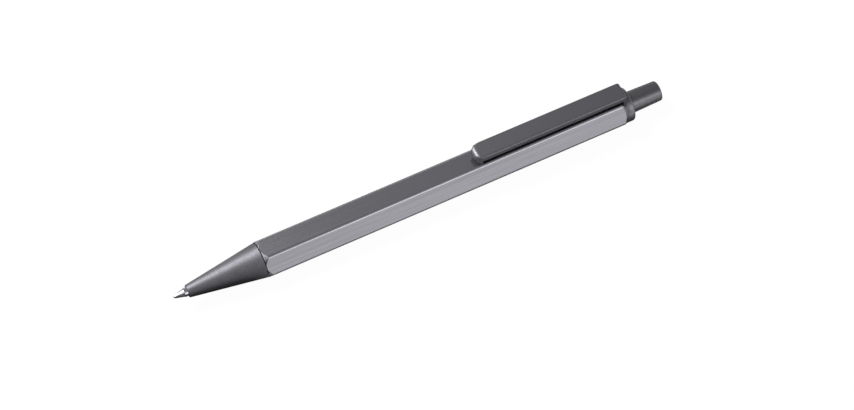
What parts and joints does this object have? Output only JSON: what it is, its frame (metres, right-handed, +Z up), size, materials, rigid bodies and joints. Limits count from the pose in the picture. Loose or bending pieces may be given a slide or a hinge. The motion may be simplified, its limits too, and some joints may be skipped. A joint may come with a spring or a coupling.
{
  "type": "click ballpoint pen",
  "caption": "Retractable ballpoint pen with a hexagonal brushed aluminium barrel, dark conical nose, pressed pocket clip and round push knob, lying on a flat with its tip out.",
  "frame": {"origin": "middle of the pen's bounding box, on the surface that its bottom flat rests on", "axes": "+X from the writing tip towards the push knob, +Z up through the clip, +Y across to the left of +X"},
  "size_m": [0.136, 0.0106, 0.0126],
  "materials": {
    "barrel_aluminium": "brushed lengthwise, satin, edges rounded",
    "dark_satin_metal": "dark grey, bead-blasted and anodised",
    "clip_metal": "dark grey satin coat on pressed steel",
    "dark_turned_metal": "dark grey, turned and anodised, satin",
    "point_metal": "turned and polished",
    "ball_metal": "polished",
    "refill_metal": "drawn, smooth",
    "spring_steel": "drawn wire",
    "mechanism_plastic": "moulded",
    "sleeve_plastic": "moulded",
    "plug_plastic": "moulded",
    "ink": "thick blue-black paste"
  },
  "bodies": {
    "barrel": {"barrel": "barrel_aluminium", "clip_ring": "clip_metal", "rear_collar": "dark_turned_metal", "cam_sleeve": "sleeve_plastic"},
    "clip": {"clip_blade": "clip_metal"},
    "spring": {"return_spring": "spring_steel"},
    "nose": {"nose_cone": "dark_satin_metal"},
    "refill": {"refill_tube": "refill_metal", "refill_plug": "plug_plastic", "point_housing": "point_metal", "ink_column": "ink"},
    "ball": {"writing_ball": "ball_metal"},
    "knob": {"push_knob": "dark_turned_metal", "plunger": "mechanism_plastic"},
    "rotor": {"rotor": "mechanism_plastic"}
  },
  "joints": [
    {"name": "knob_press", "type": "slide", "parent": "barrel", "child": "knob", "axis": [-1, 0, 0], "range_m": [-0.005, 0.0012]},
    {"name": "refill_travel", "type": "slide", "parent": "barrel", "child": "refill", "axis": [-1, 0, 0], "range_m": [-0.005, 0.0012], "deforming": ["return_spring"]},
    {"name": "rotor_turn", "type": "hinge", "parent": "knob", "child": "rotor", "pos_m": [0.03543, 0, 0.0047], "axis": [1, 0, 0], "continuous": true},
    {"name": "ball_roll", "type": "hinge", "parent": "refill", "child": "ball", "pos_m": [-0.0676, 0, 0.0047], "axis": [0, 1, 0], "continuous": true},
    {"name": "clip_flex", "type": "hinge", "parent": "barrel", "child": "clip", "pos_m": [0.0568, 0, 0.01053], "axis": [0, 1, 0], "range_deg": [0, 3.5], "stiffness_Nm_per_rad": 0.15, "springref_deg": -1.15},
    {"name": "nose_travel", "type": "slide", "parent": "barrel", "child": "spring", "axis": [-1, 0, 0], "range_m": [0, 0.006]},
    {"name": "nose_turn", "type": "hinge", "parent": "spring", "child": "nose", "pos_m": [-0.0405, 0, 0.0047], "axis": [-1, 0, 0], "range_deg": [0, 2880]}
  ],
  "couplings": [
    {"joint": "refill_travel", "follows": "knob_press", "ratio": 1},
    {"joint": "nose_turn", "follows": "nose_travel", "rad_per_m": 8377.6}
  ]
}
